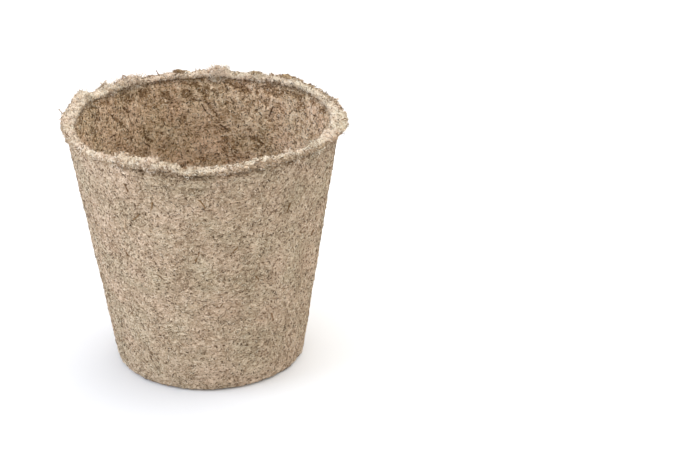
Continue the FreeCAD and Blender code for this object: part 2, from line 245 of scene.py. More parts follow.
# Dark seams in the inner face, painted dark and sunk a little: turn and height of each end of a seam, half
# width.
innerSeams = (
    (0.274, 70.1, 0.263, 66.9, 0.55), (0.263, 66.9, 0.258, 63.9, 0.45), (0.258, 63.9, 0.246, 61.1, 0.55),
    (0.227, 70.1, 0.202, 68.1, 1.00), (0.182, 71.8, 0.160, 70.0, 1.10), (0.146, 71.0, 0.118, 69.7, 1.20),
    (0.164, 70.4, 0.174, 64.6, 0.30), (0.157, 65.9, 0.142, 63.2, 0.55), (0.405, 70.6, 0.404, 69.0, 0.50),
    (0.378, 66.4, 0.371, 64.5, 0.45), (0.197, 54.5, 0.177, 53.2, 0.55), (0.354, 56.1, 0.341, 54.5, 0.45),
    (0.399, 64.7, 0.382, 61.2, 0.50), (0.290, 71.0, 0.278, 69.5, 0.50),
)
felt = {
    "lumpWave": 0.15, "lumpDepth": 0.16,  # waves per millimetre, and millimetres
    "matWave": 0.70, "matDepth": 0.18,
    "pitWave": 0.85, "pitDepth": 0.50,
    "inside": 1.35,  # the inner face is coarser: the press leaves it loose
    "insideFrom": 1.9, "lip": 0.8, "footSunk": 0.05, "peatSunk": 0.4,
    "reliefShadeGain": 1.6, "peatDarkness": 0.6,  # how strongly deep relief is painted in shade and high relief painted paler, and how much gathered peat darkens
}
gathered = {  # how dark the heel is painted, with contact shade and dirt, how dark the peat patches are, and how the seams run and fade
    "heel": 0.8, "patch": 0.6, "patchWave": 0.28, "seamWave": 0.9, "seamWander": 0.5, "seamSoft": (0.4, 1.3),
}
paleRing = {  # clean fibre at the mouth: where it widens, in radians from +X, and widths in millimetres
    "left": 2.97, "right": -0.1, "front": 4.4, "mottleWave": 0.45,
    "width": 1.0, "leftWider": 1.7, "rightWider": 2.6, "frontWider": 2.4, "edge": (-0.5, 0.6),
}
# The fold inside the mouth, painted dark: shadow painted under the mouth's edge, with darker peat. How far
# below the top, its half width, its soft edge and its breaks.
foldShadowAndPeat = {"below": 1.3, "half": 0.55, "soft": (0.5, 1.2), "breakWave": 0.5, "breaks": (-0.35, 0.1)}


def inBand(name, value, origin=0):
    low, high = bands[name]
    return between(value, origin + low, origin + high)


def atTurn(shares, turn):
    # a table's value at a share of a full turn, eased from one step to the next
    place = turn % 1 * len(shares)
    step = int(place)
    return shares[step % len(shares)] + between(place - step, 0, 1) * (
        shares[(step + 1) % len(shares)] - shares[step % len(shares)])


def clumpRise(turn):
    # how much the clumps lift the lip here, and how near the nearest one is
    rise = near = 0.0
    for share, width, height, fluffy in lipClumps:
        away = abs((turn - share + 0.5) % 1 - 0.5) * 2 * math.pi * cupShape["topRadius"]
        hump = math.exp(-(away / (width / 2)) ** 2)
        rise = max(rise, height * hump)
        near = max(near, hump * fluffy)
    return rise, near


def wallRadius(z):
    return cupShape["footRadius"] + (cupShape["topRadius"] - cupShape["footRadius"]) * z / cupShape["height"]


def cupProfile():
    # radius and height of each corner, from the middle of the foot round to the middle of the floor
    level, wall, base = cupShape["crackLevel"], cupShape["wall"], cupShape["base"]
    return (
        (0, 0),
        (cupShape["footRadius"], 0),
        (wallRadius(level), level),
        (wallRadius(level) - cupShape["edgeIn"], level + cupShape["edgeUp"]),
        (wallRadius(level) - wall + cupShape["edgeIn"], level + cupShape["edgeUp"]),
        (wallRadius(level) - wall, level),
        (wallRadius(base) - wall, base),
        (0, base),
    )


def lipProfile():
    # round the lip's cut, from its root in the wall out over the crown and back
    top, level = cupShape["height"] - lipShape["felting"], cupShape["crackLevel"]
    tip = cupShape["topRadius"] + lipShape["reach"]
    inner = cupShape["topRadius"] - cupShape["wall"] - lipShape["inset"]
    root = wallRadius(level) - cupShape["wall"] / 2
    return (
        (root, level - 1.2),
        (root + 0.45, level + 0.35),
        (tip - 0.25, level + 0.45),
        (tip, level + 0.95),
        (tip - 0.1, top - 0.45),
        (cupShape["topRadius"] - 0.2, top - 0.05),
        (inner + 0.8, top),
        (inner + 0.1, top - 0.25),
        (inner, top - 0.75),
        (inner + lipShape["groove"], top - 1.10),
        (inner + 0.15, level + 0.35),
        (root - 0.7, level + 0.1),
    )


def zoneAt(radius, z):
    if z > cupShape["crackLevel"] + zoneEdges["top"]:
        return "top"
    if z < zoneEdges["footHeight"] and radius < cupShape["footRadius"] - zoneEdges["footInset"]:
        return "foot"
    if radius > wallRadius(z) - cupShape["wall"] / 2:
        return "outer"
    return "inner" if z > cupShape["base"] + zoneEdges["floor"] else "floor"


def unroll(bm, steps):
    # the map that the finish is kept in: round the pot by along the profile
    uvOf = bm.loops.layers.uv.new("OFBake")
    alongOf = bm.verts.layers.float["along"]
    longest = max(v[alongOf] for v in bm.verts)
    for face in bm.faces:
        turns = {v: math.atan2(v.co.y, v.co.x) / (2 * math.pi) % 1 for v in face.verts}
        middle = math.atan2(*face.calc_center_median().yx) / (2 * math.pi) % 1
        alongs = [v[alongOf] for v in face.verts]
        wraps = max(alongs) - min(alongs) > longest / 2
        for loop in face.loops:
            turn = turns[loop.vert]
            if math.hypot(loop.vert.co.x, loop.vert.co.y) < 0.01:
                turn = middle
            turn = middle + (turn - middle + 0.5) % 1 - 0.5
            turn = min(max(turn, middle - 0.5 / steps), middle + 0.5 / steps)
            along = loop.vert[alongOf]
            along = longest * 1.002 if wraps and along < longest / 2 else along
            loop[uvOf].uv = (turn, along / longest / 1.002)


def sortFaces(bm):
    # spin leaves its faces in a new order each run, and the fibres are scattered in the order of faces
    bm.verts.index_update()
    count = len(bm.verts)

    def rank(face):
        corners = [v.index for v in face.verts]
        return (min(corners) * count + max(corners)) * 4 * count + sum(corners)

    bm.faces.sort(key=rank)
    bm.faces.index_update()


def spinProfile(profile, bevels, rowHeight, steps, closed):
    bm = bmesh.new()
    alongOf = bm.verts.layers.float.new("along")
    corners = [bm.verts.new((radius, 0, z)) for radius, z in profile]
    for corner, following in zip(corners, corners[1:] + corners[:1] * closed):
        bm.edges.new((corner, following))
    for index, size in bevels.items():
        bmesh.ops.bevel(bm, geom=[corners[index]], offset=size * 0.95, offset_type="OFFSET",
                        affect="VERTICES", segments=5, profile=0.5, material=-1)
    for edge in bm.edges[:]:
        middle = (edge.verts[0].co + edge.verts[1].co) / 2
        rows = round(edge.calc_length() / rowHeight(middle.x, middle.z))
        bmesh.ops.subdivide_edges(bm, edges=[edge], cuts=max(rows - 1, 0))
    bm.verts.ensure_lookup_table()
    vertex = next((v for v in bm.verts if len(v.link_edges) == 1), bm.verts[0])
    along, last = 0.0, None
    for _ in range(len(bm.verts)):  # walk the profile from end to end
        vertex[alongOf] = along
        onward = [e for e in vertex.link_edges if e is not last]
        if not onward:
            break
        last = onward[0]
        along += last.calc_length()
        vertex = last.other_vert(vertex)
    bmesh.ops.spin(bm, geom=bm.verts[:] + bm.edges[:], cent=(0, 0, 0), axis=(0, 0, 1), dvec=(0, 0, 0),
                   angle=2 * math.pi, steps=steps, use_merge=True, use_duplicate=False)
    bmesh.ops.remove_doubles(bm, verts=bm.verts, dist=0.0005)
    bmesh.ops.recalc_face_normals(bm, faces=bm.faces)
    sortFaces(bm)
    bm.normal_update()
    unroll(bm, steps)
    return bm


def feltRelief(place, depth):
    lump = noise.fractal(place * felt["lumpWave"], 1.0, 2.0, 3)
    mat = noise.fractal(place * felt["matWave"] + Vector((11, 5, 2)), 0.8, 2.2, 3)
    pit = max(noise.noise(place * felt["pitWave"] + Vector((3, 17, 9))) - 0.18, 0)
    return depth * (felt["lumpDepth"] * lump + felt["matDepth"] * mat - felt["pitDepth"] * pit)


def torn(place):
    # ragged at every size, with sharp peaks: -1 to 1 or so
    soft = noise.fractal(place, 0.55, 2.4, 5)
    sharp = 1 - 2.2 * noise.turbulence(place * 1.7, 4, True)
    return 0.6 * soft + 0.4 * max(min(sharp, 1), -1)


def crackAt(turn, edge):
    return max(atTurn(lipCrack, turn) * (0.8 + 0.9 * noise.noise(edge * 3)), 0)


def crackWander(edge):
    # the crack's way up and down along the lip, in millimetres
    return lipShape["crackWander"] * (noise.noise(edge * 0.9) + 0.6 * noise.noise(edge * 2.3))


def shapeLip(place, turn):
    # the torn edge: raised, sagged and overhung by the tables, then ragged along its length
    top, level = cupShape["height"], cupShape["crackLevel"]
    radius = math.hypot(place.x, place.y)
    outward = Vector((place.x, place.y, 0)) / radius
    edge = outward * cupShape["topRadius"] * lipShape["raggedWave"]
    up = inBand("rise", place.z, top)
    low = 1 - inBand("underside", place.z, level)
    rise = lipShape["depth"] * atTurn(lipRise, turn) + lipShape["raggedUp"] * torn(edge)
    lift, near = clumpRise(turn)
    hang = inBand("overhang", radius, cupShape["topRadius"])
    out = lipShape["reach"] * (atTurn(lipReach, turn) - 1)
    out += lipShape["raggedOut"] * torn(edge + Vector((31, 7, 3 + place.z * 0.06)))
    mouth = 1 - inBand("mouth", radius, cupShape["topRadius"])
    inward = lipShape["raggedIn"] * torn(edge + Vector((5, 23, 8 + place.z * 0.05)))
    streak = noise.noise(Vector((edge.x * 6, edge.y * 6, place.z * 0.4 + radius * 0.5)))
    # where there is no crack, the lip's lower edge sinks into the wall
    depth = lipShape["reach"] * atTurn(lipReach, turn) + lipShape["sunk"]
    sink = (1 - min(crackAt(turn, edge), 1)) * low * hang * depth
    moved = place + outward * (out * hang - inward * mouth - sink + lipShape["streak"] * streak * hang)
    moved.z += up * (rise + lift * (1 - 0.6 * mouth) + lipShape["streak"] * streak)
    fold = max(math.cos((turn - lipShape["droopTurn"]) * 2 * math.pi), 0) ** lipShape["droopPower"]
    moved.z -= low * hang * (lipShape["droop"] * fold - crackWander(edge))
    moved.z += hang * atTurn(lipThinned, turn) * (top - place.z) / (top - level)
    return moved, near


def openCrack(place, turn):
    # under an open crack the wall's top edge sags and stands out, so that the gap shows; it also gives how
    # dark the gap's painted shadow is
    level = cupShape["crackLevel"]
    radius = math.hypot(place.x, place.y)
    if radius < cupShape["topRadius"] - 1.4 or place.z < level - 4:
        return place, 0
    outward = Vector((place.x, place.y, 0)) / radius
    edge = outward * cupShape["topRadius"] * lipShape["raggedWave"]
    crack = crackAt(turn, edge)
    moved = place + outward * crack * lipShape["crackBulge"] * inBand("crackBulge", place.z, level)
    shift = crackWander(edge) + atTurn(lipThinned, turn) - crack * lipShape["crackDrop"]
    moved.z += shift * inBand("crackSag", place.z, level)
    return moved, crack * inBand("crackPaintedShadow", place.z, level)


def darkSeamsPatchesAndHeel(place, turn, zone):
    # how dark the felt is painted: in the seams, with peat in patches below the crown, and round the heel,
    # where it is painted contact shade and dirt
    if zone == "outer":
        return gathered["heel"] * (1 - inBand("heelShadeAndScuff", place.z))
    if zone != "inner":
        return 0.0
    patches = between(noise.noise(place * gathered["patchWave"] + Vector((2, 9, 4))), 0.05, 0.35)
    shade = gathered["patch"] * patches * inBand("peatPatches", place.z, cupShape["crackLevel"])
    around = 2 * math.pi * (cupShape["topRadius"] - cupShape["wall"])
    wander = noise.noise_vector(place * gathered["seamWave"]).xy * gathered["seamWander"]
    here = Vector((turn % 1 * around, place.z)) + wander
    for turn1, z1, turn2, z2, half in innerSeams:
        start, end = Vector((turn1 * around, z1)), Vector((turn2 * around, z2))
        share = min(max((here - start).dot(end - start) / (end - start).length_squared, 0), 1)
        off = (here - start.lerp(end, share)).length / half
        shade = max(shade, 1 - between(off, *gathered["seamSoft"]))
    return shade


def cleanFibre(start, place, turn):
    # clean pale fibre shows along the mouth's edge, and over the whole lip at its two ends
    angle = turn * 2 * math.pi
    left = max(math.cos(angle - paleRing["left"]), 0) ** 4
    right = max(math.cos(angle - paleRing["right"]), 0) ** 12
    front = max(math.cos(angle - paleRing["front"]), 0) ** 2
    width = paleRing["width"] + paleRing["frontWider"] * front + paleRing["leftWider"] * left
    width += paleRing["rightWider"] * right
    off = abs(math.hypot(start.x, start.y) - (cupShape["topRadius"] - cupShape["wall"] + 0.05))
    crown = inBand("crown", start.z, cupShape["height"])
    mottle = noise.noise(place * paleRing["mottleWave"])
    kept = min(max(0.9 + 0.3 * right + mottle * (1.3 - 0.8 * (left + right)), 0.05), 1)
    return crown * (1 - between(off, width + paleRing["edge"][0], width + paleRing["edge"][1])) * kept


def foldShadowAndPeatAt(start, place):
    # the fold beneath the mouth's edge is painted dark, with breaks: painted shadow under the edge, with
    # darker peat
    grooveRadius = cupShape["topRadius"] - cupShape["wall"] - lipShape["inset"] + lipShape["groove"]
    below = start.z - cupShape["height"] + foldShadowAndPeat["below"]
    under = math.hypot(math.hypot(start.x, start.y) - grooveRadius, below) / foldShadowAndPeat["half"]
    broken = between(noise.noise(place * foldShadowAndPeat["breakWave"] + Vector((7, 2, 5))), *foldShadowAndPeat["breaks"])
    return (1 - between(under, *foldShadowAndPeat["soft"])) * broken


def roughenShell(bm, isLip):
    # gives the shell its relief, and notes at each point what the finish and the fibres read
    layerOf = {name: bm.verts.layers.float.new(name)
               for name in ("hollow", "clear", "peaty", "pale", "tanSide", "inside", "fluff")}
    zoneOf = bm.verts.layers.int.new("zone")
    moved = []
    for vertex in bm.verts:
        place = vertex.co.copy()
        turn = math.atan2(place.y, place.x) / (2 * math.pi)
        radius = math.hypot(place.x, place.y)
        zone = "lip" if isLip else zoneAt(radius, place.z)
        inside = zone in ("inner", "floor") or (isLip and radius < cupShape["topRadius"] - felt["insideFrom"])
        relief = feltRelief(place, felt["inside"] if inside else 1.0)
        # dark seams, peat patches, and the heel's painted contact shade and dirt
        peat = darkSeamsPatchesAndHeel(place, turn, zone)
        if inside:
            relief -= felt["peatSunk"] * peat
        if zone == "foot":
            relief = min(relief, 0) - felt["footSunk"]
        notes = {"inside": float(inside)}
        if isLip:
            place, notes["fluff"] = shapeLip(place, turn)
            relief *= felt["lip"]
            # the fold under the mouth's edge: painted shadow, with peat
            peat = foldShadowAndPeatAt(vertex.co, place)
            notes["pale"] = cleanFibre(vertex.co, place, turn)
            notes["tanSide"] = (1 - notes["pale"]) * (1 - 0.85 * peat)
            # on the lip: painted shade in the relief's hollows, and the fold's painted shadow with peat
            notes["hollow"] = max(min(max(0.5 - relief * felt["reliefShadeGain"], 0), 1), peat)
        else:
            # the open crack's shadow is painted into the colour, and dark bark fibres grow in it
            place, gap = openCrack(place, turn)
            peat = min(max(peat, gap), 1)
            # painted shade in the relief's hollows and painted light on its ridges, with peat and the crack's
            # painted shadow
            hollow = 0.5 - relief * felt["reliefShadeGain"] + felt["peatDarkness"] * peat
            notes["hollow"] = min(max(hollow, gap, 0), 1)
        # pale fibres thin out over peat and over the painted shade of the crack, the fold and the heel
        notes["clear"] = 1 - 0.9 * peat
        notes["peaty"] = peat
        for name, value in notes.items():
            vertex[layerOf[name]] = value
        vertex[zoneOf] = zoneNumbers[zone]
        moved.append(place + vertex.normal * relief)
    for vertex, place in zip(bm.verts, moved):
        vertex.co = place
        vertex.co.z = max(vertex.co.z, 0)
    bm.normal_update()
    bmesh.ops.scale(bm, vec=(mm, mm, mm), verts=bm.verts)


zoneNumbers = {"foot": 0, "outer": 1, "top": 2, "inner": 3, "floor": 4, "lip": 5}
cupBm = spinProfile(cupProfile(), {1: cupShape["heelRound"], 6: cupShape["cornerRound"]},
                    lambda radius, z: cupShape["rowHeight"][zoneAt(radius, z)], cupShape["turnSteps"], False)
roughenShell(cupBm, False)
feltCup = linkObject("feltCup", meshFrom(cupBm, "feltCup"))
lipBm = spinProfile(lipProfile(), {}, lambda radius, z: lipShape["rowHeight"], lipShape["turnSteps"], True)
roughenShell(lipBm, True)
tornLip = linkObject("tornLip", meshFrom(lipBm, "tornLip"))
for shell in (feltCup, tornLip):
    shell.data.polygons.foreach_set("use_smooth", [True] * len(shell.data.polygons))
    print(shell.name, sum(len(p.vertices) - 2 for p in shell.data.polygons), "triangles")


# Felt finish: wood fibre and peat pulp, pressed wet and dried, so matt, mottled and full of strands

feltFinish = {
    "outerTones": ("#665340", "#A8927A", "#CDB9A2", "#DFCFBA"),  # from painted shade in the hollows and dark peat up to the ridges, painted paler
    "innerTones": ("#60472F", "#B19371", "#EED5B7", "#FDEEDA"),
    "lipTone": "#FFF4E6", "speckTone": "#5A4530",
    "warmTone": "#FFF8F2", "coolTone": "#FAFAF3",  # slow changes of hue from pinkish to greyish
    "patchSize": 9.0, "strandWidth": 0.32, "fleckSize": 0.5, "speckSize": 0.75,  # millimetres
    "warpSize": 1 / 0.35, "warpReach": 3.5, "bumpDepth": 0.22,
    "base": 0.62, "hollow": -0.55, "fleck": 0.55, "patch": 0.35, "strand": 0.28,  # what makes a point pale
    "toneFrom": 0.45, "toneTo": 1.25, "lipShare": 0.85, "speckShare": 0.85,
}
fibreSurface = {"IOR": 1.5, "Specular IOR Level": 0.25}  # dry cellulose, matt with no gloss


def addStrands(tree, coords, turn, width, seed):
    # pale strands a few millimetres long in one direction, bent by a slow warp
    stretch = addNode(tree, "ShaderNodeMapping", {"Vector": coords, "Rotation": turn,
                                                  "Location": (seed, seed * 1.7, seed * 0.6),
                                                  "Scale": (0.16 / width, 0.9 / width, 0.9 / width)})
    streak = addNode(tree, "ShaderNodeTexNoise", {"Vector": stretch.outputs[0], "Scale": 1.0, "Detail": 1.0})
    ridge = addNode(tree, "ShaderNodeMapRange", {"Value": streak.outputs["Fac"], "From Min": 0.52,
                                                 "From Max": 0.66})
    return ridge.outputs[0]


def addHuePatches(tree, coords, colour):
    # the pulp dries pinkish in one place and greyish in the next
    spots = addNode(tree, "ShaderNodeTexNoise", {"Vector": coords, "Scale": 1 / feltFinish["patchSize"] / mm,
                                                 "Detail": 2.0})
    share = addNode(tree, "ShaderNodeMapRange", {"Value": spots.outputs["Fac"], "From Min": 0.35,
                                                 "From Max": 0.65})
    hue = addNode(tree, "ShaderNodeMix", {"Factor": share.outputs[0], 6: linearColour(feltFinish["coolTone"]),
                                          7: linearColour(feltFinish["warmTone"])}, data_type="RGBA")
    return addNode(tree, "ShaderNodeMix", {"Factor": 1.0, 6: colour, 7: hue.outputs[2]},
                   data_type="RGBA", blend_type="MULTIPLY").outputs[2]


def makeFelt():
    # waste wood and peat, pulped, pressed wet in a mould and dried: strands, flecks and specks, no gloss
    material, tree = startMaterial("pressedWoodPulpFelt")
    finish = feltFinish
    coords = addNode(tree, "ShaderNodeTexCoord")
    inMm = addNode(tree, "ShaderNodeVectorMath", {0: coords.outputs["Object"], 3: 1 / mm}, operation="SCALE")
    warp = addNode(tree, "ShaderNodeTexNoise", {"Vector": inMm.outputs[0], "Scale": 1 / finish["warpSize"],
                                                "Detail": 1.0})
    centred = addNode(tree, "ShaderNodeVectorMath", {0: warp.outputs["Color"], 1: (0.5, 0.5, 0.5)},
                      operation="SUBTRACT")
    bent = addNode(tree, "ShaderNodeVectorMath", {0: centred.outputs[0], 1: [finish["warpReach"]] * 3,
                                                  2: inMm.outputs[0]}, operation="MULTIPLY_ADD")
    turns = ((0.3, 0.2, 0.5), (1.2, 0.7, 2.1), (0.6, 1.9, 1.1), (2.2, 1.1, 0.4))
    strands = [addStrands(tree, bent.outputs[0], turn, finish["strandWidth"], 10 * i + 3)
               for i, turn in enumerate(turns)]
    network = strands[0]
    for strand in strands[1:]:
        network = addNode(tree, "ShaderNodeMath", {0: network, 1: strand}, operation="MAXIMUM").outputs[0]
    marks = {name: addNode(tree, "ShaderNodeTexNoise", {"Vector": inMm.outputs[0], "Detail": detail,
                                                        "Scale": 1 / finish[f"{name}Size"]}).outputs["Fac"]
             for name, detail in (("patch", 3.0), ("fleck", 2.0), ("speck", 1.0))}
    # painted shade: relief hollows, the crack under the lip and the fold under its edge are darkened and
    # ridges lightened; peat darkens too
    hollow = addNode(tree, "ShaderNodeAttribute", attribute_name="hollow")
    tone = finish["base"]
    for share, pattern in (("hollow", hollow.outputs["Fac"]), ("fleck", marks["fleck"]),
                           ("patch", marks["patch"]), ("strand", network)):
        tone = addNode(tree, "ShaderNodeMath", {0: pattern, 1: finish[share], 2: tone},
                       operation="MULTIPLY_ADD").outputs[0]
    spread = addNode(tree, "ShaderNodeMapRange", {"Value": tone, "From Min": finish["toneFrom"],
                                                  "From Max": finish["toneTo"]})
    sides = []
    for tones in (finish["outerTones"], finish["innerTones"]):
        ramp = addNode(tree, "ShaderNodeValToRGB", {"Fac": spread.outputs[0]})
        stops = ramp.color_ramp.elements
        stops[0].color = linearColour(tones[0])
        stops[1].color = linearColour(tones[3])
        stops.new(0.35).color = linearColour(tones[1])
        stops.new(0.68).color = linearColour(tones[2])
        sides.append(ramp.outputs["Color"])
    inside = addNode(tree, "ShaderNodeAttribute", attribute_name="inside")
    within = addNode(tree, "ShaderNodeMix", {"Factor": inside.outputs["Fac"], 6: sides[0], 7: sides[1]},
                     data_type="RGBA")
    lip = addNode(tree, "ShaderNodeAttribute", attribute_name="pale")
    lipAmount = addNode(tree, "ShaderNodeMath", {0: lip.outputs["Fac"], 1: finish["lipShare"]},
                        operation="MULTIPLY")
    withLip = addNode(tree, "ShaderNodeMix", {"Factor": lipAmount.outputs[0], 6: within.outputs[2],
                                              7: linearColour(finish["lipTone"])}, data_type="RGBA")
    speckAmount = addNode(tree, "ShaderNodeMapRange", {"Value": marks["speck"], "From Min": 0.62,
                                                       "From Max": 0.70, "To Max": finish["speckShare"]})
    specked = addNode(tree, "ShaderNodeMix", {"Factor": speckAmount.outputs[0], 6: withLip.outputs[2],
                                              7: linearColour(finish["speckTone"])}, data_type="RGBA")
    colour = addHuePatches(tree, coords.outputs["Object"], specked.outputs[2])
    grain = addNode(tree, "ShaderNodeMath", {0: marks["fleck"], 1: 0.5, 2: network},
                    operation="MULTIPLY_ADD")
    bump = addNode(tree, "ShaderNodeBump", {"Height": grain.outputs[0], "Distance": finish["bumpDepth"] * mm,
                                            "Strength": 0.9})
    surface = addNode(tree, "ShaderNodeBsdfPrincipled", {
        "Base Color": colour, "Roughness": 0.95, "Normal": bump.outputs["Normal"], **fibreSurface})
    addNode(tree, "ShaderNodeOutputMaterial", {"Surface": surface.outputs["BSDF"]})
    return material


pulpFelt = makeFelt()
for shell in (feltCup, tornLip):
    shell.data.materials.append(pulpFelt)
    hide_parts("moulded_cup")
    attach(shell, "root")
print("felt finish made")


# Fibre finishes: one dry plant fibre, in the shades that the pot is felted from

fibreMottle = {"perMm": 1.4, "share": 0.35, "whole": 1.25}  # whole: what the shade is divided by


def makeFibre(name, tones):
    # dry plant fibre: matt, each one its own shade and a little uneven along its length
    material, tree = startMaterial(name)
    tint = addNode(tree, "ShaderNodeAttribute", attribute_name="tint")
    coords = addNode(tree, "ShaderNodeTexCoord")
    mottle = addNode(tree, "ShaderNodeTexNoise", {"Vector": coords.outputs["Object"],
                                                  "Scale": fibreMottle["perMm"] / mm, "Detail": 1.0})
    shade = addNode(tree, "ShaderNodeMath", {0: mottle.outputs["Fac"], 1: fibreMottle["share"],
                                             2: tint.outputs["Fac"]}, operation="MULTIPLY_ADD")
    shade = addNode(tree, "ShaderNodeMath", {0: shade.outputs[0], 1: fibreMottle["whole"]},
                    operation="DIVIDE")
    ramp = addNode(tree, "ShaderNodeValToRGB", {"Fac": shade.outputs[0]})
    stops = ramp.color_ramp.elements
    stops[0].color = linearColour(tones[0])
    stops[1].color = linearColour(tones[-1])
    for index, tone in enumerate(tones[1:-1], 1):
        stops.new(index / (len(tones) - 1)).color = linearColour(tone)
    colour = addHuePatches(tree, coords.outputs["Object"], ramp.outputs["Color"])
    surface = addNode(tree, "ShaderNodeBsdfPrincipled", {
        "Base Color": colour, "Roughness": 0.8, **fibreSurface})
    addNode(tree, "ShaderNodeOutputMaterial", {"Surface": surface.outputs["BSDF"]})
    return material


fibreFinishes = {  # wood fibre from cream to tan, bark from brown to yellow, and nearly black peat
    "straw": makeFibre("bleachedSoftwoodFibre", ("#CCBBA5", "#DECEB9", "#EEE2D0")),
    "innerStraw": makeFibre("looseSoftwoodFibre", ("#E9D3BB", "#F8E6D0", "#FFF7E7")),
    "crown": makeFibre("cleanTornSoftwoodFibre", ("#ECDDCB", "#F8ECDC", "#FFFAF0")),
    "tan": makeFibre("driedPulpFibre", ("#A48F78", "#C1AB93", "#D8C4AC")),
    "innerPale": makeFibre("loosePulpFibre", ("#C8AE91", "#E8CEB2", "#F8E6CE")),
    "brown": makeFibre("brownBarkFibre", ("#6A543E", "#8B745B", "#A99176")),
    "bark": makeFibre("dryBarkChip", ("#59422C", "#7A5F42", "#9A7D58")),
    "husk": makeFibre("yellowedHusk", ("#705B43", "#A08A69", "#CFBC98")),
    "peat": makeFibre("darkPeatStem", ("#3C2C1C", "#574330", "#78624B")),
}


# Loose bits of the frame, made rough and given their own finish

looseBits = {
    "wall_stems": {"name": "wallStems", "finish": "bark", "rough": 0.14},
    "inner_stems": {"name": "innerStems", "finish": "peat", "rough": 0.14},
    "wall_straws": {"name": "wallStraws", "finish": "tan", "rough": 0.14},
    "inner_straws": {"name": "innerStraws", "finish": "straw", "rough": 0.14},
    "rim_sprigs": {"name": "rimSprigs", "finish": "brown", "rough": 0.12},
    "rim_tufts": {"name": "rimTufts", "finish": "straw", "rough": 0.10},
    "rim_flakes": {"name": "rimFlakes", "finish": "husk", "rough": 0.35, "cuts": 4,
                   "paleOver": 55},  # millimetres to the right over which they go a full shade paler
}


def roughenBits(node, bits):
    bm = bmesh.new()
    bm.from_mesh(frame["nodes"][node].data)
    bmesh.ops.remove_doubles(bm, verts=bm.verts, dist=0.002 * mm)
    bmesh.ops.subdivide_edges(bm, edges=bm.edges[:], cuts=bits.get("cuts", 2), use_grid_fill=True)
    tintOf = bm.verts.layers.float.new("tint")
    for vertex in bm.verts:
        place = vertex.co / mm
        paler = place.x / bits.get("paleOver", math.inf)
        vertex[tintOf] = 0.5 + 0.5 * noise.noise(place * 0.12) + paler
        shift = noise.noise_vector(place * 1.9) + noise.noise_vector(place * 5) * 0.5
        vertex.co += shift * bits["rough"] * mm
    made = linkObject(bits["name"], meshFrom(bm, bits["name"]))
    made.data.materials.append(fibreFinishes[bits["finish"]])
    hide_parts(node)
    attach(made, "root")
    return made


roughBits = {node: roughenBits(node, bits) for node, bits in looseBits.items()}
print("loose bits roughened")


# Fibres, curls and crumbs: a few small shapes, scattered over the shell by Geometry Nodes

strandSides = 3
strandKinds = {  # length and width in millimetres, bend and lift in degrees
    "fibre": {"rings": 2, "shapes": (
        {"length": 1.5, "width": 0.24, "bend": 18, "lift": 6},
        {"length": 1.9, "width": 0.19, "bend": -34, "lift": -8},
        {"length": 1.2, "width": 0.30, "bend": 8, "lift": 10},
        {"length": 1.7, "width": 0.21, "bend": 52, "lift": 4},
        {"length": 1.4, "width": 0.26, "bend": -14, "lift": -5},
    )},
    "curl": {"rings": 4, "shapes": (
        {"length": 2.4, "width": 0.13, "bend": 170, "lift": 30},
        {"length": 2.8, "width": 0.11, "bend": -120, "lift": 60},
        {"length": 2.0, "width": 0.15, "bend": 240, "lift": -25},
    )},
}
crumbSizes = ((1.7, 1.0, 0.45), (1.3, 0.9, 0.55), (2.1, 0.7, 0.40), (1.0, 0.8, 0.50))  # millimetres


def strandMesh(name, shape, ringCount):
    # rings extruded along a bent line and drawn in to a point at both ends
    bm = bmesh.new()
    uvOf = bm.loops.layers.uv.new("OFBake")
    step = shape["length"] / (ringCount + 1)
    turn = Matrix.Rotation(math.radians(shape["bend"] / ringCount), 3, "Z")
    turn = turn @ Matrix.Rotation(math.radians(shape["lift"] / ringCount), 3, "Y")
    heading = Matrix.Rotation(math.radians(-shape["bend"] / 2), 3, "Z")
    centre = heading @ Vector((-shape["length"] / 2, 0, 0))
    placeOf = {}
    ring = bmesh.ops.create_circle(bm, cap_ends=False, radius=shape["width"] / 2, segments=strandSides,
                                   matrix=Matrix.Rotation(math.pi / 2, 4, "Y"))["verts"]
    bmesh.ops.rotate(bm, cent=(0, 0, 0), matrix=heading, verts=ring)
    bmesh.ops.translate(bm, vec=centre, verts=ring)
    rings = [ring]
    for _ in range(ringCount + 1):
        edges = [e for e in bm.edges if all(v in ring for v in e.verts)]
        made = bmesh.ops.extrude_edge_only(bm, edges=edges)["geom"]
        ring = [v for v in made if isinstance(v, bmesh.types.BMVert)]
        ahead = heading @ Vector((step, 0, 0))
        bmesh.ops.translate(bm, vec=ahead, verts=ring)
        centre = centre + ahead
        bmesh.ops.rotate(bm, cent=centre, matrix=turn, verts=ring)
        heading = turn @ heading
        rings.append(ring)
    for index, ring in enumerate(rings):
        for side, vertex in enumerate(ring):
            placeOf[vertex] = (index, side)
    ends = [sum((v.co for v in ring), Vector()) / strandSides for ring in (rings[0], rings[-1])]
    for face in bm.faces:
        sides = [placeOf[v][1] for v in face.verts]
        wraps = max(sides) - min(sides) == strandSides - 1
        for loop in face.loops:
            index, side = placeOf[loop.vert]
            side = strandSides if wraps and side == 0 else side
            loop[uvOf].uv = (index / (ringCount + 1), side / strandSides)
    for ring, end in zip((rings[0], rings[-1]), ends):
        bmesh.ops.pointmerge(bm, verts=ring, merge_co=end)
    bmesh.ops.recalc_face_normals(bm, faces=bm.faces)
    bmesh.ops.scale(bm, vec=(mm, mm, mm), verts=bm.verts)
    for face in bm.faces:
        face.smooth = True
    return meshFrom(bm, name)


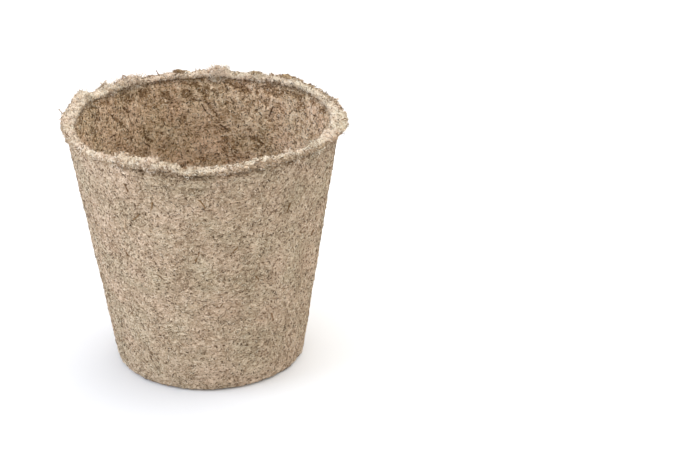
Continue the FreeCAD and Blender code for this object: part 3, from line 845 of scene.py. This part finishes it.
def crumbMesh(name, size):
    # a torn crumb of felt: a small flat lump with an uneven surface
    bm = bmesh.new()
    bm.loops.layers.uv.new("OFBake")
    bmesh.ops.create_icosphere(bm, subdivisions=1, radius=0.5, calc_uvs=True)
    for vertex in bm.verts:
        vertex.co *= 1 + 0.45 * noise.noise(vertex.co * 2.5 + Vector(size) * 7)
    bmesh.ops.scale(bm, vec=[side * mm for side in size], verts=bm.verts)
    return meshFrom(bm, name)


def keepShapes(kind, meshes):
    kept = bpy.data.collections.new(f"{kind}Set")
    scene.collection.children.link(kept)
    for mesh in meshes:
        kept.objects.link(bpy.data.objects.new(mesh.name, mesh))
    return kept


shapeSets = {kind: keepShapes(kind, [strandMesh(f"{kind}{number}", shape, made["rings"])
                                     for number, shape in enumerate(made["shapes"])])
             for kind, made in strandKinds.items()}
shapeSets["crumb"] = keepShapes("crumb", [crumbMesh(f"crumb{number}", size)
                                          for number, size in enumerate(crumbSizes)])


def scatterTree(layer, seed, area):
    tree = bpy.data.node_groups.new(layer["name"], "GeometryNodeTree")
    for way in ("INPUT", "OUTPUT"):
        tree.interface.new_socket("Geometry", in_out=way, socket_type="NodeSocketGeometry")
    ground = addNode(tree, "NodeGroupInput")
    density = layer["count"] / area
    if "where" in layer:
        where = addNode(tree, "GeometryNodeInputNamedAttribute", {"Name": layer["where"]}, data_type="FLOAT")
        density = addNode(tree, "ShaderNodeMath", {0: where.outputs[0], 1: density},
                          operation="MULTIPLY").outputs[0]
    spots = addNode(tree, "GeometryNodeDistributePointsOnFaces",
                    {"Mesh": ground.outputs[0], "Density": density, "Seed": seed})
    lift = addNode(tree, "FunctionNodeRandomValue", {2: layer["lift"][0] * mm, 3: layer["lift"][1] * mm,
                                                     "Seed": seed + 1}, data_type="FLOAT")
    raised = addNode(tree, "ShaderNodeVectorMath", {0: spots.outputs["Normal"], 3: lift.outputs[1]},
                     operation="SCALE")
    placed = addNode(tree, "GeometryNodeSetPosition",
                     {"Geometry": spots.outputs["Points"], "Offset": raised.outputs[0]})
    tilt, roll = math.radians(layer["tilt"]), math.radians(layer["roll"])
    swing = addNode(tree, "FunctionNodeRandomValue", {0: (-roll, -tilt, 0), 1: (roll, tilt, 2 * math.pi),
                                                      "Seed": seed + 2}, data_type="FLOAT_VECTOR")
    swung = addNode(tree, "FunctionNodeEulerToRotation", {0: swing.outputs[0]})
    turned = addNode(tree, "FunctionNodeRotateRotation",
                     {0: spots.outputs["Rotation"], 1: swung.outputs[0]}, rotation_space="LOCAL")
    small, large, thin, thick = layer["scale"]
    size = addNode(tree, "FunctionNodeRandomValue", {0: (small, thin, thin), 1: (large, thick, thick),
                                                     "Seed": seed + 3}, data_type="FLOAT_VECTOR")
    kinds = addNode(tree, "GeometryNodeCollectionInfo",
                    {"Collection": shapeSets[layer["kind"]], "Separate Children": True,
                     "Reset Children": True})
    fibres = addNode(tree, "GeometryNodeInstanceOnPoints",
                     {"Points": placed.outputs[0], "Instance": kinds.outputs[0], "Pick Instance": True,
                      "Rotation": turned.outputs[0], "Scale": size.outputs[0]})
    tint = addNode(tree, "FunctionNodeRandomValue", {2: 0.0, 3: 1.0, "Seed": seed + 4}, data_type="FLOAT")
    tinted = addNode(tree, "GeometryNodeStoreNamedAttribute",
                     {"Geometry": fibres.outputs[0], "Name": "tint", "Value": tint.outputs[1]},
                     data_type="FLOAT", domain="INSTANCE")
    solid = addNode(tree, "GeometryNodeRealizeInstances", {"Geometry": tinted.outputs[0]})
    addNode(tree, "NodeGroupOutput", {0: solid.outputs[0]})
    return tree


growingOn = {"lip": tornLip, "flakes": roughBits["rim_flakes"]}  # all else grows on the cup


def zonePatch(zone):
    # the part of the shell that a layer grows on
    bm = bmesh.new()
    bm.from_mesh(growingOn.get(zone, feltCup).data)
    if zone != "flakes":
        zoneOf = bm.verts.layers.int["zone"]
        buried = (cupShape["crackLevel"] + 0.2) * mm if zone == "lip" else -mm
        others = [f for f in bm.faces
                  if any(v[zoneOf] != zoneNumbers[zone] or v.co.z < buried for v in f.verts)]
        bmesh.ops.delete(bm, geom=others, context="FACES")
    area = sum(f.calc_area() for f in bm.faces)
    return meshFrom(bm, "patch"), area


def spreadMap(mesh, loopsPerShape):
    # every fibre gets a small square of its own on the map that its colours are kept in
    loopCount = len(mesh.loops)
    layer = mesh.uv_layers["OFBake"]
    places = numpy.empty(loopCount * 2, numpy.float32)
    layer.uv.foreach_get("vector", places)
    fibre = numpy.arange(loopCount) // loopsPerShape
    across = math.ceil(math.sqrt(fibre[-1] + 1))
    corner = numpy.stack([fibre % across, fibre // across], 1)
    places = (corner + 0.1 + 0.8 * places.reshape(-1, 2)) / across
    layer.uv.foreach_set("vector", places.astype(numpy.float32).ravel())


inSpeck = {"scale": (0.25, 0.75, 0.9, 1.7), "tilt": 14}
pressedFlat = {"lift": (-0.1, 0.0), "tilt": 3}
looseOnWall = {"scale": (0.4, 1.0, 0.6, 1.1), "lift": (-0.06, 0.16)}
fibreLayers = (  # a count with "where" is thinned by that note of the shell, so fewer grow
    {"name": "outerStraw", "zone": "outer", "finish": "straw", "count": 12500, "where": "clear"},
    {"name": "outerTan", "zone": "outer", "finish": "tan", "count": 14600, "where": "clear"},
    {"name": "outerBrown", "zone": "outer", "finish": "brown", "count": 8250},
    {"name": "outerPeat", "zone": "outer", "finish": "peat", "count": 6500, "tilt": 14,
     "scale": (0.25, 0.75, 0.7, 1.4)},
    # dark bark fibres put into the crack's painted shadow, and onto the heel's painted shade and dirt
    {"name": "crackBark", "zone": "outer", "finish": "bark", "count": 30000, "where": "peaty",
     "tilt": 14, "scale": (0.3, 0.8, 0.7, 1.3)},
    {"name": "outerHairs", "zone": "outer", "finish": "straw", "count": 1800, "tilt": 65,
     "lift": (0, 0.12), "scale": (0.25, 0.6, 0.35, 0.7)},
    {"name": "innerStraw", "zone": "inner", "finish": "innerStraw", "count": 13000, "where": "clear",
     **looseOnWall},
    {"name": "innerTan", "zone": "inner", "finish": "innerPale", "count": 14700, "where": "clear",
     **looseOnWall},
    {"name": "innerBrown", "zone": "inner", "finish": "brown", "count": 8500, **looseOnWall},
    {"name": "innerPeat", "zone": "inner", "finish": "peat", "count": 7000, "tilt": 14,
     "scale": (0.25, 0.85, 0.8, 1.7)},
    {"name": "seamBark", "zone": "inner", "finish": "bark", "count": 34000, "where": "peaty", "tilt": 14,
     "scale": (0.3, 0.9, 0.7, 1.3)},
    {"name": "innerCrumbs", "zone": "inner", "finish": "innerPale", "count": 900, "kind": "crumb",
     "lift": (-0.18, 0.0), "scale": (0.4, 1.0, 0.4, 1.0)},
    {"name": "footTan", "zone": "foot", "finish": "tan", "count": 3600, **pressedFlat},
    {"name": "footBrown", "zone": "foot", "finish": "brown", "count": 3000, **pressedFlat},
    {"name": "floorTan", "zone": "floor", "finish": "tan", "count": 2300},
    {"name": "floorBrown", "zone": "floor", "finish": "brown", "count": 1950},
    {"name": "lipStraw", "zone": "lip", "finish": "crown", "count": 25500, "tilt": 40, "where": "pale",
     "scale": (0.4, 1.1, 0.6, 1.1), "lift": (-0.1, 0.16)},
    {"name": "lipTan", "zone": "lip", "finish": "tan", "count": 9500, "tilt": 38, "where": "tanSide",
     "scale": (0.4, 1.1, 0.5, 1.1), "lift": (-0.1, 0.16)},
    {"name": "lipBrown", "zone": "lip", "finish": "brown", "count": 6000, "tilt": 34, "where": "tanSide",
     "scale": (0.4, 1.0, 0.5, 1.1)},
    {"name": "lipPeat", "zone": "lip", "finish": "peat", "count": 800, **inSpeck},
    # dark bark fibres put into the fold's painted shadow under the mouth's edge
    {"name": "foldBark", "zone": "lip", "finish": "bark", "count": 12000, "where": "peaty", "tilt": 14,
     "scale": (0.3, 0.9, 0.6, 1.1)},
    {"name": "lipCrumbs", "zone": "lip", "finish": "tan", "count": 650, "kind": "crumb", "tilt": 45,
     "scale": (0.4, 1.1, 0.5, 1.1), "lift": (-0.2, 0.1)},
    {"name": "clumpCurls", "zone": "lip", "finish": "crown", "count": 14000, "kind": "curl", "tilt": 85,
     "where": "fluff", "scale": (0.3, 1.1, 0.8, 1.4), "lift": (-0.1, 1.0)},
    {"name": "clumpTan", "zone": "lip", "finish": "tan", "count": 6000, "kind": "curl", "tilt": 85,
     "where": "fluff", "scale": (0.3, 1.2, 0.8, 1.4), "lift": (-0.1, 1.2)},
    {"name": "clumpBrown", "zone": "lip", "finish": "brown", "count": 2000, "kind": "curl", "tilt": 80,
     "where": "fluff", "scale": (0.3, 0.9, 0.7, 1.1), "lift": (-0.1, 0.4)},
    {"name": "clumpStems", "zone": "lip", "finish": "bark", "count": 1000, "tilt": 80, "where": "fluff",
     "scale": (0.5, 1.3, 0.5, 0.9), "lift": (0, 1.1)},
    {"name": "lipHairs", "zone": "lip", "finish": "crown", "count": 2600, "kind": "curl", "tilt": 80,
     "scale": (0.3, 0.8, 0.6, 1.1)},
    {"name": "lipTanHairs", "zone": "lip", "finish": "tan", "count": 2050, "kind": "curl", "tilt": 80,
     "scale": (0.3, 0.7, 0.9, 1.5)},
    {"name": "lipBrownHairs", "zone": "lip", "finish": "brown", "count": 650, "kind": "curl", "tilt": 85,
     "scale": (0.4, 0.9, 1.1, 1.7), "lift": (0, 0.3)},
    {"name": "flakeBark", "zone": "flakes", "finish": "bark", "count": 260, "tilt": 30,
     "scale": (0.4, 0.9, 0.8, 1.5)},
    {"name": "flakeTan", "zone": "flakes", "finish": "tan", "count": 200, "tilt": 55,
     "scale": (0.4, 1.0, 0.6, 1.1)},
)
fibreUsual = {"kind": "fibre", "tilt": 9, "roll": 35, "lift": (-0.08, 0.10), "scale": (0.4, 1.2, 0.6, 1.2)}


def growLayer(layer, seed):
    layer = {**fibreUsual, **layer}
    patch, area = zonePatch(layer["zone"])
    grown = linkObject(layer["name"], patch)
    modifier = grown.modifiers.new("scatter", "NODES")
    modifier.node_group = scatterTree(layer, seed, area)
    made = bpy.data.meshes.new_from_object(grown.evaluated_get(bpy.context.evaluated_depsgraph_get()))
    grown.modifiers.clear()
    grown.data = made
    made.name = layer["name"]
    bpy.data.meshes.remove(patch)
    spreadMap(made, len(shapeSets[layer["kind"]].objects[0].data.loops))
    for vertex in made.vertices:  # nothing reaches below what the pot stands on
        vertex.co.z = max(vertex.co.z, 0)
    made.materials.clear()
    made.materials.append(fibreFinishes[layer["finish"]])
    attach(grown, "root")
    triangles = sum(len(p.vertices) - 2 for p in made.polygons)
    print(layer["name"], triangles, "triangles")


for number, fibreLayer in enumerate(fibreLayers):
    growLayer(fibreLayer, 20 * number + 5)  # five seeds of its own for each layer
for kept in shapeSets.values():
    for shape in list(kept.objects):
        bpy.data.objects.remove(shape)
    bpy.data.collections.remove(kept)
